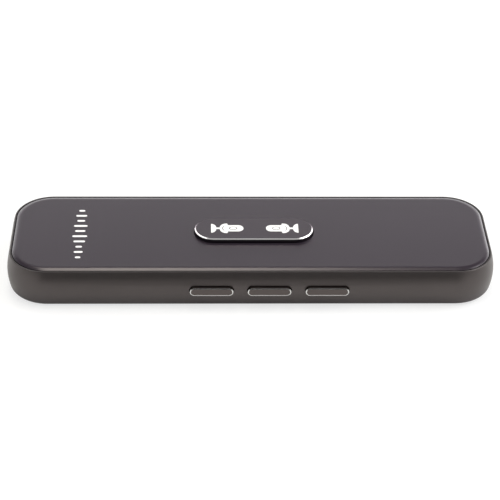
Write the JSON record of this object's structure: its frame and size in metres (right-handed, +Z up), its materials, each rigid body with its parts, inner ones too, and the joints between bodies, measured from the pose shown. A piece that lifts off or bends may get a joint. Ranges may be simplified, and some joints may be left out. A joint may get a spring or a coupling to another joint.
{
  "type": "handheld translator",
  "caption": "Slim bar with a bulged side wall, a curved-edge top plate, a pill-shaped rocker key on top, pill-shaped side buttons and a charging socket in one end.",
  "frame": {"origin": "middle of the underside", "axes": "+X along the bar towards the charging socket, +Y away from the side buttons, +Z up through the top plate"},
  "size_m": [0.141, 0.0429, 0.0133],
  "materials": {
    "casing_paint": "satin dark grey paint",
    "plate_gloss": "smooth dark plate with a curved edge",
    "tape_black": "thin adhesive ring",
    "key_anodised": "dark anodised with a polished bevel",
    "steel_pin": "ground steel",
    "steel_sheet": "bent sheet",
    "silicone": "matt silicone",
    "board_mask": "green solder mask",
    "screw_steel": "zinc plated",
    "can_tin": "tinned sheet",
    "cell_foil": "laminate foil",
    "pad_foam": "double-sided tape",
    "socket_plastic": "moulded",
    "wire_red": "insulated wire",
    "wire_black": "insulated wire",
    "speaker_plastic": "moulded",
    "speaker_film": "thin film",
    "magnet_nickel": "nickel plated",
    "gasket_foam": "foam",
    "mesh_cloth": "fine woven mesh",
    "socket_steel": "stamped shell",
    "socket_black": "moulded",
    "contact_gold": "gold plated",
    "led_body": "moulded lamp",
    "guide_clear": "frosted clear moulding",
    "passive_ceramic": "ceramic with tinned ends",
    "antenna_ceramic": "ceramic",
    "chip_black": "moulded package",
    "button_anodised": "dark anodised with a polished bevel",
    "switch_case": "stamped cover",
    "plunger_plastic": "moulded",
    "dome_steel": "spring steel",
    "mic_can": "gold plated can",
    "boot_rubber": "moulded rubber",
    "print_white": "screen-printed ink of the two microphone signs and the level bars"
  },
  "bodies": {
    "housing": {"audio_codec": "chip_black", "battery": "cell_foil", "battery_board": "board_mask", "battery_lead_black": "wire_black", "battery_lead_red": "wire_red", "battery_pad": "pad_foam", "battery_socket": "socket_plastic", "board_screws": "screw_steel", "casing": "casing_paint", "charge_chip": "chip_black", "chip_antenna": "antenna_ceramic", "crystal": "can_tin", "key_mat": "silicone", "key_pin": "steel_pin", "light_guide": "guide_clear", "main_board": "board_mask", "memory_chip": "chip_black", "mic_boot_left": "boot_rubber", "mic_boot_right": "boot_rubber", "mic_left": "mic_can", "mic_right": "mic_can", "passives": "passive_ceramic", "pivot_bracket": "steel_sheet", "plate_tape": "tape_black", "processor": "chip_black", "shield_can": "can_tin", "side_switch_left": "switch_case", "side_switch_middle": "switch_case", "side_switch_right": "switch_case", "snap_dome_left": "dome_steel", "snap_dome_right": "dome_steel", "speaker_basket": "speaker_plastic", "speaker_diaphragm": "speaker_film", "speaker_gasket": "gasket_foam", "speaker_lead_black": "wire_black", "speaker_lead_red": "wire_red", "speaker_magnet": "magnet_nickel", "speaker_mesh": "mesh_cloth", "status_led": "led_body", "top_plate": "plate_gloss", "usb_contacts": "contact_gold", "usb_shell": "socket_steel", "usb_tongue": "socket_black", "wireless_module": "can_tin"},
    "rocker": {"rocker_key": "key_anodised"},
    "cap_left": {"side_button_left": "button_anodised"},
    "plunger_left": {"switch_plunger_left": "plunger_plastic"},
    "cap_middle": {"side_button_middle": "button_anodised"},
    "plunger_middle": {"switch_plunger_middle": "plunger_plastic"},
    "cap_right": {"side_button_right": "button_anodised"},
    "plunger_right": {"switch_plunger_right": "plunger_plastic"}
  },
  "joints": [
    {"name": "key_rock", "type": "hinge", "parent": "housing", "child": "rocker", "pos_m": [0.0009, 0, 0.0095], "axis": [0, 1, 0], "range_deg": [-1.3, 1.3], "stiffness_Nm_per_rad": 1, "deforming": ["key_mat", "snap_dome_left", "snap_dome_right"]},
    {"name": "press_left", "type": "slide", "parent": "housing", "child": "cap_left", "axis": [0, 1, 0], "range_m": [0, 0.0003], "stiffness_N_per_m": 5300},
    {"name": "switch_left", "type": "slide", "parent": "housing", "child": "plunger_left", "axis": [0, 1, 0], "range_m": [0, 0.0003]},
    {"name": "press_middle", "type": "slide", "parent": "housing", "child": "cap_middle", "axis": [0, 1, 0], "range_m": [0, 0.0003], "stiffness_N_per_m": 5300},
    {"name": "switch_middle", "type": "slide", "parent": "housing", "child": "plunger_middle", "axis": [0, 1, 0], "range_m": [0, 0.0003]},
    {"name": "press_right", "type": "slide", "parent": "housing", "child": "cap_right", "axis": [0, 1, 0], "range_m": [0, 0.0003], "stiffness_N_per_m": 5300},
    {"name": "switch_right", "type": "slide", "parent": "housing", "child": "plunger_right", "axis": [0, 1, 0], "range_m": [0, 0.0003]}
  ],
  "couplings": [
    {"joint": "switch_left", "follows": "press_left", "ratio": 1},
    {"joint": "switch_middle", "follows": "press_middle", "ratio": 1},
    {"joint": "switch_right", "follows": "press_right", "ratio": 1}
  ]
}
